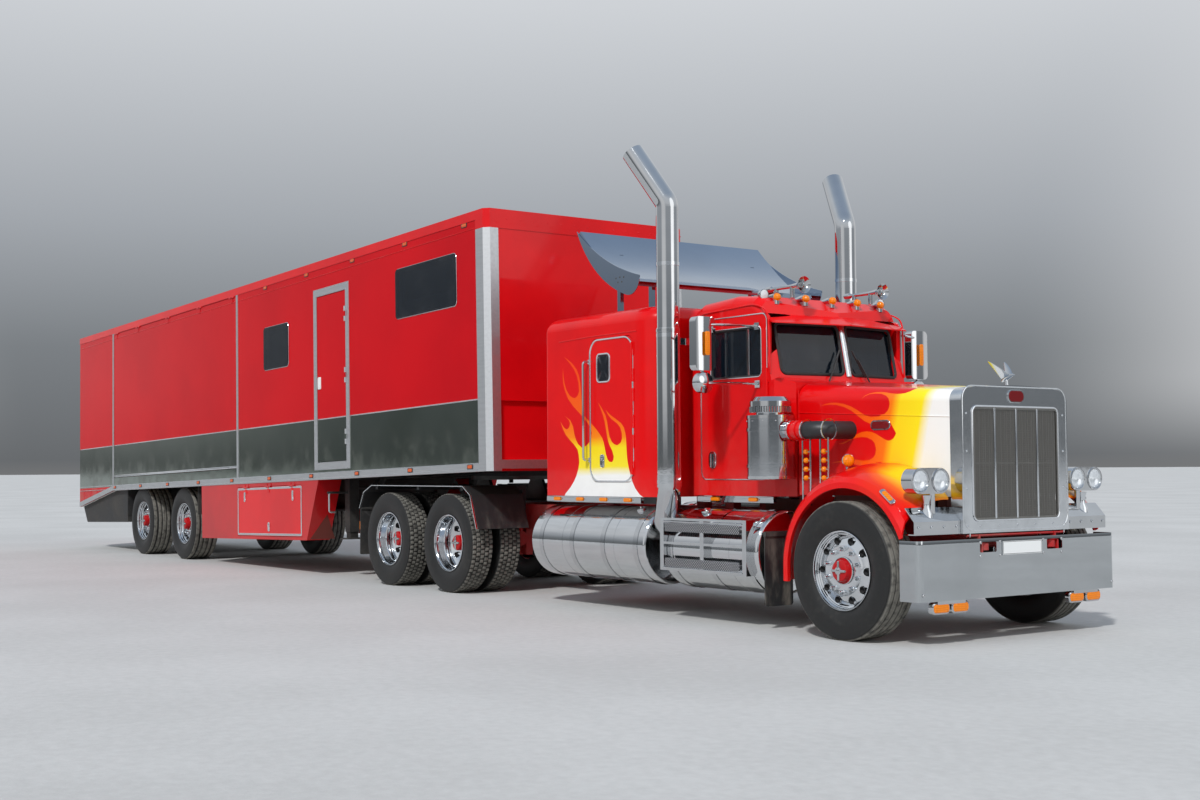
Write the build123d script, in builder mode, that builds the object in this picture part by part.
from build123d import *
import os
from math import atan2, cos, degrees, hypot, radians, sin, sqrt, tan

os.makedirs("parts", exist_ok=True)

# Long-nose tractor with a box semi-trailer, in millimetres.
# The tractor is drawn from the ground point below its front axle, the trailer from its kingpin:
# X forward, Y to the left, Z up. Both are placed in one frame at the end.

# Driving dimensions: wheels and axles of the tractor
tyre_radius = 525
rim_radius = 300
rim_seat = 288
front_tyre_width = 300
front_track = 2080
steer_pin_y = 860
drive_tyre_width = 280
twin_spacing = 340
drive_track = 1860
tandem_back = 6515
tandem_spacing = 1350
spindle_radius = 38
running_gap = 0.3
panel_gap = 6

# Surface hinges: barrels in three lengths, the middle one on the leaf's strap
knuckle_radius = 9
knuckle_length = 60
knuckle_out = knuckle_radius + 0.5
piano_length = 120
piano_leaf = 26
strap_sheet = 6
strap_reach = 80
plate_reach = 40
along_x, along_y, along_z = (0, 90, 0), (90, 0, 0), (0, 0, 0)

# Frame of the tractor
rail_height = 270
rail_flange = 90
rail_web = 12
rail_top = 930
frame_width = 860
rail_front = 560
rail_rear = -7960

# Cab, hood and sleeper
wall = 50
cab_half_width = 800
cab_rear = -2240
cab_front = -1130
cab_bottom = 1066
cowl_front = -960
cowl_top = 2035
roof_edge = 2640
roof_top = 2790
windshield_bottom = 2080
windshield_top = 2545
sleeper_half_width = 1120
sleeper_rear = -4120
sleeper_front = -2330
sleeper_bottom = 1050
sleeper_top = 2765
sleeper_corner = 290

# Bumper and front end
bumper_front = 750
bumper_half_width = 1130
bumper_bottom = 330
bumper_top = 769
bumper_sheet = 10
shell_front = 712
shell_depth = 110
shell_half_width = 616
shell_bottom = 808
shell_top = 1922
hood_pivot_x = 700
hood_pivot_z = 790
hood_pin_radius = 10
plate_thickness = 6

# Coupling and trailer, the trailer's sizes in its own frame
coupling_height = 1235
trailer_lift = 1270
trailer_pitch = 1.4
pin_radius = 25.4
pin_length = 84
box_front = 1640
box_rear = -12140
box_half_width = 1297
box_bottom = -20
box_top = 2680
side_wall = 60
trailer_tyre_radius = 530
trailer_tyre_width = 385
trailer_track = 2060
trailer_axle_back = 8205
trailer_axle_spacing = 1810

# The whole rig is centred on its length
pitch = radians(trailer_pitch)
rig_front = bumper_front + plate_thickness
rig_rear = tandem_back - box_rear * cos(pitch) + box_top * sin(pitch)
front_axle_x = (rig_rear - rig_front) / 2
tractor_place = Location((front_axle_x, 0, 0))
trailer_place = Location((front_axle_x - tandem_back, 0, trailer_lift), (0, -trailer_pitch, 0))


def across(x):
    """Plane square to the road direction at x: local x to the left, local y up."""
    return Plane(origin=(x, 0, 0), x_dir=(0, 1, 0), z_dir=(1, 0, 0))


def beside(y):
    """Upright plane along the vehicle at y: local x forward, local y up, facing right."""
    return Plane(origin=(0, y, 0), x_dir=(1, 0, 0), z_dir=(0, -1, 0))


def level(z):
    return Plane.XY.offset(z)


def knuckles(centre, turn, fixed, length=knuckle_length):
    """Barrel pieces of one hinge: the two ends that stand still, or the middle that moves."""
    step = (length + running_gap) * fixed
    with BuildPart(mode=Mode.PRIVATE) as barrel:
        for place in sorted({-step, step}):
            with Locations(Location(centre, turn) * Location((0, 0, place))):
                Cylinder(knuckle_radius, length)
    return barrel.part


def end_places(place, length=knuckle_length):
    """Middles of the two fixed barrel pieces of a hinge along its axis."""
    return place - length - running_gap, place + length + running_gap


def wheel_plane(x, y, z, side):
    """Plane through a wheel's axis: local x along the axle outwards, local y up."""
    return Plane(origin=(x, y, z), x_dir=(0, side, 0), z_dir=(side, 0, 0))


def axle_axis(x, z):
    return Axis((x, 0, z), (0, 1, 0))


# Chassis frame: two channel rails, crossmembers and the mounts of the cab and sleeper
half_frame = frame_width / 2
bracket_plate = 16
tow_y = 385
tow_width = 186
tow_bottom = 667
tow_top = 745
tow_eye_radius = 21
tow_tongue = 50
hood_ear_y = 545
# Rubber mounts under the cab and the sleeper: place along the rails and top
body_mounts = ((-1180, cab_bottom), (-2150, cab_bottom), (-2560, sleeper_bottom),
               (-3980, sleeper_bottom))
rail_bottom = rail_top - rail_height
crossmember_places = (330, -1960, -2700, -3900, -4900, -6515, -7900)
with BuildPart() as chassis_frame:
    with BuildSketch(across(rail_rear)):
        with Locations((half_frame - rail_flange / 2, rail_top - rail_height / 2)):
            Rectangle(rail_flange, rail_height)
        with Locations((half_frame - rail_web - rail_flange / 2, rail_top - rail_height / 2)):
            Rectangle(rail_flange, rail_height - 2 * rail_web, mode=Mode.SUBTRACT)
    extrude(amount=rail_front - rail_rear)
    mirror(about=Plane.XZ)
    for place in crossmember_places:
        with BuildSketch(across(place - 50)):
            with Locations((0, rail_top - rail_height / 2)):
                Rectangle(frame_width - 2 * rail_web, rail_height - 60)
                Rectangle(frame_width - 2 * rail_web, rail_height - 110, mode=Mode.SUBTRACT)
        extrude(amount=100)
    for side in (-1, 1):
        for place, top in body_mounts:
            with Locations((place, side * (half_frame - rail_flange / 2), (rail_top + top) / 2)):
                Box(110, rail_flange, top - rail_top)

# Front brackets: plates outside the rails that carry the bumper, joined by the hood's pivot pin
with BuildPart() as front_brackets:
    for side in (-1, 1):
        with BuildSketch(beside(side * half_frame)):
            with BuildLine():
                Polyline(
                    (rail_front - 260, rail_bottom + 20),
                    (rail_front - 120, bumper_bottom + 90),
                    (bumper_front - bumper_sheet, bumper_bottom + 90),
                    (bumper_front - bumper_sheet, bumper_top - 30),
                    (hood_pivot_x + 22, bumper_top - 30),
                    (hood_pivot_x + 14, hood_pivot_z + 10),
                    (hood_pivot_x - 14, hood_pivot_z + 10),
                    (hood_pivot_x - 40, bumper_top - 30),
                    (rail_front - 260, bumper_top - 30),
                    close=True,
                )
            make_face()
        extrude(amount=-side * bracket_plate)
    with BuildSketch(beside(0)):
        with Locations((hood_pivot_x, hood_pivot_z)):
            Circle(hood_pin_radius)
    extrude(amount=hood_ear_y + 20, both=True)

# Tow eyes: thick plates between the rails' front ends and the bumper brackets
tow_inner = 330
tow_eye_x = bumper_front - 48
with BuildPart() as tow_eyes:
    for side in (-1, 1):
        with BuildSketch(level(tow_bottom + 14)):
            with Locations(((rail_front + tow_eye_x) / 2, side * (tow_inner + half_frame) / 2)):
                Rectangle(tow_eye_x - rail_front, half_frame - tow_inner)
            with Locations((tow_eye_x, side * tow_y)):
                Circle(40)
                Circle(tow_eye_radius, mode=Mode.SUBTRACT)
        extrude(amount=tow_tongue)

# Engine: one plain block, with its gearbox behind and the radiator core in front
radiator_x = 395
radiator_size = (90, 960, 820)
with BuildPart() as engine_block:
    with Locations((-365, 0, 1180)):
        Box(1120, 640, 860)
    with Locations((-1390, 0, 820)):
        Box(980, 480, 420)
    with Locations((-700, 0, rail_top + 20)):
        Box(180, frame_width - 40, 40)
    with Locations((radiator_x, 0, rail_top + radiator_size[2] / 2)):
        Box(*radiator_size)

# Front axle: dropped beam with a boss at each end for the steering pin
axle_drop = 105
pin_boss_radius = 52
pin_boss_height = 120
steer_pin_radius = 22
with BuildPart() as front_axle:
    with BuildSketch(across(-45)):
        with BuildLine():
            Polyline(
                (-steer_pin_y, tyre_radius + 45),
                (-steer_pin_y + 120, tyre_radius + 45),
                (-half_frame - 60, tyre_radius - axle_drop + 60),
                (half_frame + 60, tyre_radius - axle_drop + 60),
                (steer_pin_y - 120, tyre_radius + 45),
                (steer_pin_y, tyre_radius + 45),
                (steer_pin_y, tyre_radius - 45),
                (steer_pin_y - 140, tyre_radius - 45),
                (half_frame + 40, tyre_radius - axle_drop - 50),
                (-half_frame - 40, tyre_radius - axle_drop - 50),
                (-steer_pin_y + 140, tyre_radius - 45),
                (-steer_pin_y, tyre_radius - 45),
                close=True,
            )
        make_face()
    extrude(amount=90)
    for side in (-1, 1):
        with Locations((0, side * steer_pin_y, tyre_radius)):
            Cylinder(pin_boss_radius, pin_boss_height)
    for side in (-1, 1):
        with Locations((0, side * steer_pin_y, tyre_radius)):
            Cylinder(steer_pin_radius + running_gap, pin_boss_height + 2, mode=Mode.SUBTRACT)

# Steering knuckles: a yoke over the beam's boss, the pin and the wheel spindle
yoke_height = 46
hub_length = 150
spindle_end = front_track / 2 + 60


def steering_knuckle(side):
    with BuildPart() as knuckle:
        for end in (-1, 1):
            middle = tyre_radius + end * (pin_boss_height / 2 + 1 + yoke_height / 2)
            with Locations((0, side * steer_pin_y, middle)):
                Cylinder(pin_boss_radius, yoke_height)
            with Locations((0, side * (steer_pin_y + 45), middle)):
                Box(2 * pin_boss_radius, 90, yoke_height)
        with Locations((0, side * (steer_pin_y + 75), tyre_radius)):
            Box(2 * pin_boss_radius, 30, pin_boss_height + 2 + 2 * yoke_height)
        with Locations((0, side * steer_pin_y, tyre_radius)):
            Cylinder(steer_pin_radius, pin_boss_height + 2 + 2 * yoke_height)
        with BuildSketch(beside(side * (steer_pin_y + 60))):
            with Locations((0, tyre_radius)):
                Circle(spindle_radius)
        extrude(amount=-side * (spindle_end - steer_pin_y - 60))
    return knuckle


knuckle_right = steering_knuckle(-1)
knuckle_left = steering_knuckle(1)


bead_share = 0.78
lip = 12
tread_share = 0.9
tyre_shoulder_share = 0.11


def tyre(plane, axis, width, radius):
    """Tyre ring: flat tread, round shoulders and sidewalls that narrow to the rim."""
    inner = rim_seat + running_gap
    half = width / 2
    with BuildPart() as ring:
        with BuildSketch(plane) as section:
            with BuildLine():
                Polyline(
                    (-half * bead_share, inner),
                    (-half * bead_share, rim_radius + 1),
                    (-half, (rim_radius + radius) / 2),
                    (-half * tread_share, radius),
                    (half * tread_share, radius),
                    (half, (rim_radius + radius) / 2),
                    (half * bead_share, rim_radius + 1),
                    (half * bead_share, inner),
                    close=True,
                )
            make_face()
            fillet(section.vertices().group_by(Axis.Y)[-1], width * tyre_shoulder_share)
        revolve(axis=axis)
    return ring


bolt_face_radius = 190
disc_bore = 100


def rim(plane, axis, width, root_a, root_b, disc_a, disc_b):
    """Rim: barrel with two lips, and a cone from its root on the barrel to the flat bolt disc."""
    half = width * bead_share / 2 + running_gap + lip
    with BuildPart() as body:
        with BuildSketch(plane):
            with BuildLine():
                Polyline(
                    (-half, rim_seat - 14),
                    (half, rim_seat - 14),
                    (half, rim_radius),
                    (half - lip, rim_radius),
                    (half - lip, rim_seat),
                    (-half + lip, rim_seat),
                    (-half + lip, rim_radius),
                    (-half, rim_radius),
                    close=True,
                )
            make_face()
            with BuildLine():
                Polyline(
                    (root_a, rim_seat - 12),
                    (root_b, rim_seat - 12),
                    (disc_b, bolt_face_radius),
                    (disc_b, disc_bore),
                    (disc_a, disc_bore),
                    (disc_a, bolt_face_radius),
                    close=True,
                )
            make_face()
        revolve(axis=axis)
    return body


drum_radius = 205
drum_wall = 15
hub_radius = 95
hub_flange_radius = 150
cap_depth = 60


def hub(plane, axis, inner_end, outer_end, drum_from, drum_to, flange_from, flange_to):
    """Hub bored for its spindle and closed by a cap, with a bolt flange and a brake drum."""
    bore = spindle_radius + running_gap
    with BuildPart() as body:
        with BuildSketch(plane):
            with BuildLine():
                Polyline(
                    (inner_end, bore),
                    (outer_end - cap_depth, bore),
                    (outer_end - cap_depth, 0),
                    (outer_end, 0),
                    (outer_end, 55),
                    (outer_end - 40, 78),
                    (flange_to, 88),
                    (flange_to, hub_flange_radius),
                    (flange_from, hub_flange_radius),
                    (flange_from, hub_radius),
                    (inner_end, hub_radius),
                    close=True,
                )
            make_face()
            with BuildLine():
                Polyline(
                    (drum_from, drum_radius - drum_wall),
                    (drum_from, drum_radius),
                    (drum_to, drum_radius),
                    (drum_to, hub_radius - 5),
                    (drum_to - drum_wall, hub_radius - 5),
                    (drum_to - drum_wall, drum_radius - drum_wall),
                    close=True,
                )
            make_face()
        revolve(axis=axis)
    return body


hand_holes = 10
hand_hole_radius = 24
hand_hole_circle = 233


def wheel(x, z, side, middle, width, radius, rows, hub_places):
    """One wheel body: hub with drum, and for each row a rim and a tyre."""
    axis = axle_axis(x, z)
    with BuildPart() as body:
        for offset, root_a, root_b, disc_a, disc_b in rows:
            plane = wheel_plane(x, side * (middle + offset), z, side)
            add(rim(plane, axis, width, root_a, root_b, disc_a, disc_b).part)
        add(hub(wheel_plane(x, side * middle, z, side), axis, *hub_places).part)
        with BuildSketch(Plane(origin=(x, 0, z), x_dir=(1, 0, 0), z_dir=(0, side, 0))):
            with PolarLocations(hand_hole_circle, hand_holes):
                Circle(hand_hole_radius)
        extrude(amount=2000, mode=Mode.SUBTRACT)
        for offset, *_ in rows:
            plane = wheel_plane(x, side * (middle + offset), z, side)
            add(tyre(plane, axis, width, radius).part)
    return body


# Rim rows: offset from the wheel's middle, cone root from and to, bolt disc from and to
front_rows = ((0, 30, 58, 76, 100),)
twin_half = twin_spacing / 2
drive_rows = (
    (twin_half, -75, -100, 24 - twin_half, -twin_half),
    (-twin_half, 75, 100, twin_half - 24, twin_half),
)
trailer_rows = ((0, 20, 50, 60, 84),)
# Hubs: inner and outer end, drum from and to, bolt flange from and to
front_hub = (-80, 190, -60, 60, 60, 100)
drive_hub = (-230, 210, -200, -45, -24, 24)
trailer_hub = (-140, 170, -120, 40, 40, 84)

wheel_front_right = wheel(0, tyre_radius, -1, front_track / 2, front_tyre_width, tyre_radius,
                          front_rows, front_hub)
wheel_front_left = wheel(0, tyre_radius, 1, front_track / 2, front_tyre_width, tyre_radius,
                         front_rows, front_hub)
drive_axle_places = (-tandem_back + tandem_spacing / 2, -tandem_back - tandem_spacing / 2)
drive_wheels = [
    [wheel(x, tyre_radius, side, drive_track / 2, drive_tyre_width, tyre_radius, drive_rows,
           drive_hub) for side in (-1, 1)]
    for x in drive_axle_places
]

# Drive axles: a tube with a round gear housing, and a spindle at each end
axle_tube_radius = 75
gear_housing_radius = 215
axle_tube_end = drive_track / 2 + drive_hub[0] - 5
with BuildPart() as drive_axles:
    for x in drive_axle_places:
        for radius, reach in ((axle_tube_radius, axle_tube_end),
                              (spindle_radius, drive_track / 2 + drive_hub[1] - cap_depth - 5)):
            with BuildSketch(beside(0)):
                with Locations((x, tyre_radius)):
                    Circle(radius)
            extrude(amount=reach, both=True)
        with Locations((x, 0, tyre_radius)):
            Sphere(gear_housing_radius)
        with BuildSketch(across(x)):
            with Locations((0, tyre_radius + 30)):
                Circle(85)
        extrude(amount=330)

# Suspension: front leaf springs, air bags and arms at the drive axles, and brake chambers
spring_width = 90
spring_y = half_frame - rail_flange / 2
spring_leaves = ((530, 22), (440, 20), (340, 20), (230, 20))
air_bag_radius = 115
with BuildPart() as suspension:
    for side in (-1, 1):
        top = tyre_radius - axle_drop + 60 + sum(thick for reach, thick in spring_leaves)
        leaf_top = top
        for reach, thick in spring_leaves:
            with Locations((0, side * spring_y, leaf_top - thick / 2)):
                Box(2 * reach, spring_width, thick)
            leaf_top -= thick
        for reach in (spring_leaves[0][0] - 30, 30 - spring_leaves[0][0]):
            with Locations((reach, side * spring_y, (top + rail_bottom) / 2)):
                Box(60, spring_width, rail_bottom - top)
        for x in drive_axle_places:
            with Locations((x - 250, side * spring_y, (rail_bottom + tyre_radius - 75) / 2)):
                Cylinder(air_bag_radius, rail_bottom - tyre_radius + 75)
            with Locations((x - 60, side * spring_y, tyre_radius - axle_tube_radius - 25)):
                Box(700, 90, 50)
            with Locations((x + 270, side * spring_y, (rail_bottom + tyre_radius - 140) / 2)):
                Box(70, 80, rail_bottom - tyre_radius + 140)
            with Locations((x + 245, side * (half_frame + 70), tyre_radius + 40)):
                Cylinder(80, 150, rotation=(0, 90, 0))
            with Locations((x + 175, side * (half_frame + 10), tyre_radius - 60)):
                Box(60, 160, 160)

# Fifth wheel: base plate, two side brackets and the horseshoe plate with its throat
fifth_wheel_radius = 460
fifth_plate = 45
base_plate = 20
throat_radius = pin_radius + running_gap
plate_top = coupling_height - running_gap
with BuildPart() as fifth_wheel:
    with Locations((-tandem_back, 0, rail_top + base_plate / 2)):
        Box(720, frame_width, base_plate)
    for side in (-1, 1):
        with BuildSketch(beside(side * (half_frame - 75) + 20)):
            with BuildLine():
                Polyline(
                    (-tandem_back - 260, rail_top + base_plate),
                    (-tandem_back + 260, rail_top + base_plate),
                    (-tandem_back + 120, plate_top - fifth_plate),
                    (-tandem_back - 120, plate_top - fifth_plate),
                    close=True,
                )
            make_face()
        extrude(amount=40)
    with BuildSketch(level(plate_top - fifth_plate)):
        with Locations((-tandem_back, 0)):
            Circle(fifth_wheel_radius)
        with BuildLine():
            Polyline(
                (-tandem_back - 60, throat_radius),
                (-tandem_back - fifth_wheel_radius - 60, 170),
                (-tandem_back - fifth_wheel_radius - 60, -170),
                (-tandem_back - 60, -throat_radius),
                (-tandem_back, -throat_radius),
                (-tandem_back, throat_radius),
                close=True,
            )
        make_face(mode=Mode.SUBTRACT)
        with Locations((-tandem_back, 0)):
            Circle(throat_radius, mode=Mode.SUBTRACT)
    extrude(amount=fifth_plate)

# Cab: hollow body drawn as one block less its inside, with raked windshield planes in a shallow V
door_front = -1205
door_rear = -2090
door_bottom = 1200
door_top = 2610
door_corner = 70
glass = 6
window_front = -1285
window_rear = -1945
window_bottom = 2075
window_top = 2500
window_corner = 45
cab_roof_round = 110
windshield_x = -1060
windshield_rake = 12
windshield_sweep = 8
windshield_inner = 45
windshield_outer = 690
windshield_height = 470
cowl_half_width = 705
passage_width = 700
passage_bottom = 1160
passage_top = 2400


def windshield_plane(side, inset=0):
    """Plane of one half of the windshield: local x outwards, local y up along the rake."""
    sweep = radians(windshield_sweep)
    rake = radians(windshield_rake)
    outwards = Vector(-sin(sweep), side * cos(sweep), 0)
    upwards = Vector(-sin(rake), 0, cos(rake))
    normal = outwards.cross(upwards) * side
    return Plane(origin=(windshield_x, 0, windshield_bottom), x_dir=outwards * side,
                 z_dir=normal).offset(-inset)


def cab_block(inset):
    """Cab outline less an inset on every side."""
    slope = tan(radians(windshield_rake))
    front_top = windshield_x - (roof_edge - windshield_bottom) * slope
    front_foot = windshield_x + (windshield_bottom - cowl_top) * slope
    half = cab_half_width - inset
    with BuildPart() as block:
        with BuildSketch(beside(0)):
            with BuildLine():
                Polyline(
                    (cab_rear + inset, cab_bottom + inset),
                    (cowl_front - inset, cab_bottom + inset),
                    (cowl_front - inset, cowl_top - 25 - inset),
                    (front_foot - inset, cowl_top - inset),
                    (front_top - inset, roof_edge - inset),
                    (front_top - 190, roof_top - 25 - inset),
                    (front_top - 480, roof_top - inset),
                    (cab_rear + 150, roof_top - 30 - inset),
                    (cab_rear + inset, roof_top - 110 - inset),
                    close=True,
                )
            make_face()
        extrude(amount=half, both=True)
        fillet(
            block.edges().filter_by(
                lambda edge: abs(edge.center().Y) > half - 1 and edge.center().Z > roof_edge + 20
            ),
            cab_roof_round - inset,
        )
        fillet(
            block.edges().filter_by(Axis.Z).filter_by(
                lambda edge: edge.center().X < cab_rear + inset + 1
            ),
            60 - inset / 2,
        )
        for side in (-1, 1):
            with BuildSketch(windshield_plane(side, inset)):
                with Locations((side * 500, 370)):
                    Rectangle(1000, 830)
            extrude(amount=400, mode=Mode.SUBTRACT)
            with BuildSketch(level(cab_bottom - 10)):
                with BuildLine():
                    Polyline(
                        (cab_front, side * (cab_half_width - inset)),
                        (cowl_front + 10, side * (cowl_half_width - inset)),
                        (cowl_front + 10, side * (cab_half_width + 10)),
                        (cab_front, side * (cab_half_width + 10)),
                        close=True,
                    )
                make_face()
            extrude(amount=cowl_top - cab_bottom + 20, mode=Mode.SUBTRACT)
    return block


def rounded_panel(rear, front, bottom, top, corner):
    """Sketch of an upright panel with round corners, on a plane along the vehicle."""
    with BuildSketch(mode=Mode.PRIVATE) as panel:
        with Locations(((rear + front) / 2, (bottom + top) / 2)):
            RectangleRounded(front - rear, top - bottom, corner)
    return panel.sketch


cab_hinge_x = door_front - panel_gap / 2
cab_hinge_y = cab_half_width + knuckle_out
cab_hinges = (1480, 1960)
with BuildPart() as cab_shell:
    add(cab_block(0).part)
    add(cab_block(wall).part, mode=Mode.SUBTRACT)
    with BuildSketch(across(cab_rear - 10)):
        with Locations((0, (passage_bottom + passage_top) / 2)):
            Rectangle(passage_width, passage_top - passage_bottom)
    extrude(amount=wall + 20, mode=Mode.SUBTRACT)
    for side in (-1, 1):
        with BuildSketch(windshield_plane(side)):
            with Locations((side * (windshield_inner + windshield_outer) / 2, windshield_height / 2)):
                RectangleRounded(windshield_outer - windshield_inner, windshield_height - 30, 50)
        extrude(amount=wall + 40, both=True, mode=Mode.SUBTRACT)
    for side in (-1, 1):
        turn = radians(windshield_sweep)
        with BuildSketch(Plane(origin=(windshield_x, 0, windshield_top),
                               x_dir=(cos(turn), side * sin(turn), 0),
                               z_dir=(side * sin(turn), -cos(turn), 0))):
            with BuildLine():
                Polyline((-125, 25), (35, -30), (35, -20), (-135, 70), close=True)
            make_face()
        extrude(amount=-side * (cab_half_width - 5) / cos(turn))
    with BuildSketch(beside(0)):
        add(rounded_panel(door_rear, door_front, door_bottom, door_top, door_corner))
    extrude(amount=cab_half_width + 50, both=True, mode=Mode.SUBTRACT)
    for side in (-1, 1):
        for place in cab_hinges:
            add(knuckles((cab_hinge_x, side * cab_hinge_y, place), along_z, 1, piano_length))
            for middle in end_places(place, piano_length):
                with Locations((cab_hinge_x + piano_leaf / 2,
                                side * (cab_half_width + strap_sheet / 2), middle)):
                    Box(piano_leaf, strap_sheet, piano_length)

# Windshield: two flat panes in the middle of the front wall
with BuildPart() as cab_glass:
    for side in (-1, 1):
        with BuildSketch(windshield_plane(side, wall / 2)):
            with Locations((side * (windshield_inner + windshield_outer) / 2, windshield_height / 2)):
                RectangleRounded(
                    windshield_outer - windshield_inner - 2 * running_gap,
                    windshield_height - 30 - 2 * running_gap,
                    50 - running_gap,
                )
        extrude(amount=glass)

# Cab doors: flat panels in the side wall's thickness, with a window each
def cab_door(side):
    with BuildPart() as door:
        with BuildSketch(beside(side * (cab_half_width - wall))):
            add(rounded_panel(door_rear + panel_gap, door_front - panel_gap,
                              door_bottom + panel_gap, door_top - panel_gap,
                              door_corner - panel_gap))
            add(rounded_panel(window_rear, window_front, window_bottom, window_top, window_corner),
                mode=Mode.SUBTRACT)
        extrude(amount=-side * wall)
        for place in cab_hinges:
            add(knuckles((cab_hinge_x, side * cab_hinge_y, place), along_z, 0, piano_length))
            with Locations((cab_hinge_x - piano_leaf / 2,
                            side * (cab_half_width + strap_sheet / 2), place)):
                Box(piano_leaf, strap_sheet, piano_length)
    return door


def door_pane(side):
    with BuildPart() as pane:
        with BuildSketch(beside(side * (cab_half_width - wall / 2))):
            add(rounded_panel(window_rear + running_gap, window_front - running_gap,
                              window_bottom + running_gap, window_top - running_gap,
                              window_corner - running_gap))
        extrude(amount=-side * glass)
    return pane


door_right, door_left = cab_door(-1), cab_door(1)
door_glass_right, door_glass_left = door_pane(-1), door_pane(1)

# Mirrors: a tall head and a round one below, on two tubes from the door
mirror_x = -1470
mirror_y = 1285
mirror_middle = 2340
mirror_width = 215
mirror_height = 450
mirror_arm_x = -1330
mirror_tube = 11


def mirror_set(side):
    with BuildPart() as mirrors:
        with BuildSketch(across(mirror_x - 40)):
            with Locations((side * mirror_y, mirror_middle)):
                RectangleRounded(mirror_width, mirror_height, 45)
        extrude(amount=80)
        with BuildSketch(across(mirror_x - 30)):
            with Locations((side * mirror_y, mirror_middle - mirror_height / 2 - 100)):
                Circle(88)
        extrude(amount=60)
        for height in (mirror_middle + 160, mirror_middle - 330):
            with BuildLine():
                arm = Polyline(
                    (mirror_arm_x, side * cab_half_width, height),
                    (mirror_arm_x, side * (cab_half_width + 180), height),
                    (mirror_x, side * mirror_y, height),
                )
            with BuildSketch(beside(side * cab_half_width)):
                with Locations((mirror_arm_x, height)):
                    Circle(mirror_tube)
            sweep(path=arm, transition=Transition.ROUND)
        with BuildSketch(level(mirror_middle - 340)):
            with Locations((mirror_x, side * mirror_y)):
                Circle(mirror_tube)
        extrude(amount=520)
        for height in (mirror_middle + 160, mirror_middle - 330):
            with Locations((mirror_arm_x, side * (cab_half_width + 5), height)):
                Box(60, 10, 60)
    return mirrors


mirror_right, mirror_left = mirror_set(-1), mirror_set(1)

# Cab inside: two seats, the dash and the steering wheel on its column
seat_y = 420
seat_x = -1830
seat_base = cab_bottom + wall
with BuildPart() as cab_interior:
    for side in (-1, 1):
        with Locations((seat_x, side * seat_y, seat_base + 170)):
            Box(300, 300, 340)
        with Locations((seat_x, side * seat_y, seat_base + 400)):
            Box(500, 520, 130)
        with BuildSketch(beside(side * seat_y - 260)) as back:
            with BuildLine():
                Polyline(
                    (seat_x - 250, seat_base + 340),
                    (seat_x - 120, seat_base + 340),
                    (seat_x - 190, seat_base + 1180),
                    (seat_x - 300, seat_base + 1180),
                    close=True,
                )
            make_face()
        extrude(amount=-520)
    with BuildSketch(beside(0)):
        with BuildLine():
            Polyline(
                (cowl_front - wall, seat_base + 420),
                (cowl_front - wall - 330, seat_base + 560),
                (cowl_front - wall - 330, seat_base + 760),
                (cowl_front - wall - 130, seat_base + 830),
                (cowl_front - wall, seat_base + 830),
                close=True,
            )
        make_face()
    extrude(amount=600, both=True)
    wheel_tilt = Plane(origin=(-1510, seat_y, 1850), x_dir=(0, 1, 0), z_dir=(-0.75, 0, 0.66))
    with BuildSketch(wheel_tilt):
        Circle(235)
        Circle(215, mode=Mode.SUBTRACT)
        Rectangle(440, 26)
        Circle(60)
    extrude(amount=24)
    with BuildSketch(wheel_tilt):
        Circle(28)
    extrude(amount=-330)

# Sleeper: hollow box with wide round front corners and rounded roof edges
sleeper_door_rear = -3320
sleeper_door_front = -2665
sleeper_door_bottom = 1180
sleeper_door_top = 2515
sleeper_door_corner = 75
sleeper_window = (-3205, -3045, 2110, 2350)
sleeper_roof_round = 130
sleeper_hinge_x = sleeper_door_front - panel_gap / 2
sleeper_hinge_y = -sleeper_half_width - knuckle_out
sleeper_hinges = (1430, 1850, 2270)


def sleeper_block(inset):
    half = sleeper_half_width - inset
    with BuildPart() as block:
        with BuildSketch(level(sleeper_bottom + inset)) as plan:
            with Locations(((sleeper_rear + sleeper_front) / 2, 0)):
                Rectangle(sleeper_front - sleeper_rear - 2 * inset, 2 * half)
            fillet(plan.vertices().group_by(Axis.X)[-1], sleeper_corner - inset)
            fillet(plan.vertices().group_by(Axis.X)[0], 70 - inset)
        extrude(amount=sleeper_top - sleeper_bottom - 2 * inset)
        fillet(block.faces().sort_by(Axis.Z)[-1].edges(), sleeper_roof_round - inset)
    return block


with BuildPart() as sleeper_shell:
    add(sleeper_block(0).part)
    add(sleeper_block(wall).part, mode=Mode.SUBTRACT)
    with BuildSketch(across(sleeper_front + 10)):
        with Locations((0, (passage_bottom + passage_top) / 2)):
            Rectangle(passage_width, passage_top - passage_bottom)
    extrude(amount=-wall - 20, mode=Mode.SUBTRACT)
    with BuildSketch(beside(-sleeper_half_width + wall + 10)):
        add(rounded_panel(sleeper_door_rear, sleeper_door_front, sleeper_door_bottom,
                          sleeper_door_top, sleeper_door_corner))
    extrude(amount=wall + 30, mode=Mode.SUBTRACT)
    for place in sleeper_hinges:
        add(knuckles((sleeper_hinge_x, sleeper_hinge_y, place), along_z, 1, piano_length))
        for middle in end_places(place, piano_length):
            with Locations((sleeper_hinge_x + piano_leaf / 2,
                            -sleeper_half_width - strap_sheet / 2, middle)):
                Box(piano_leaf, strap_sheet, piano_length)

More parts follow.
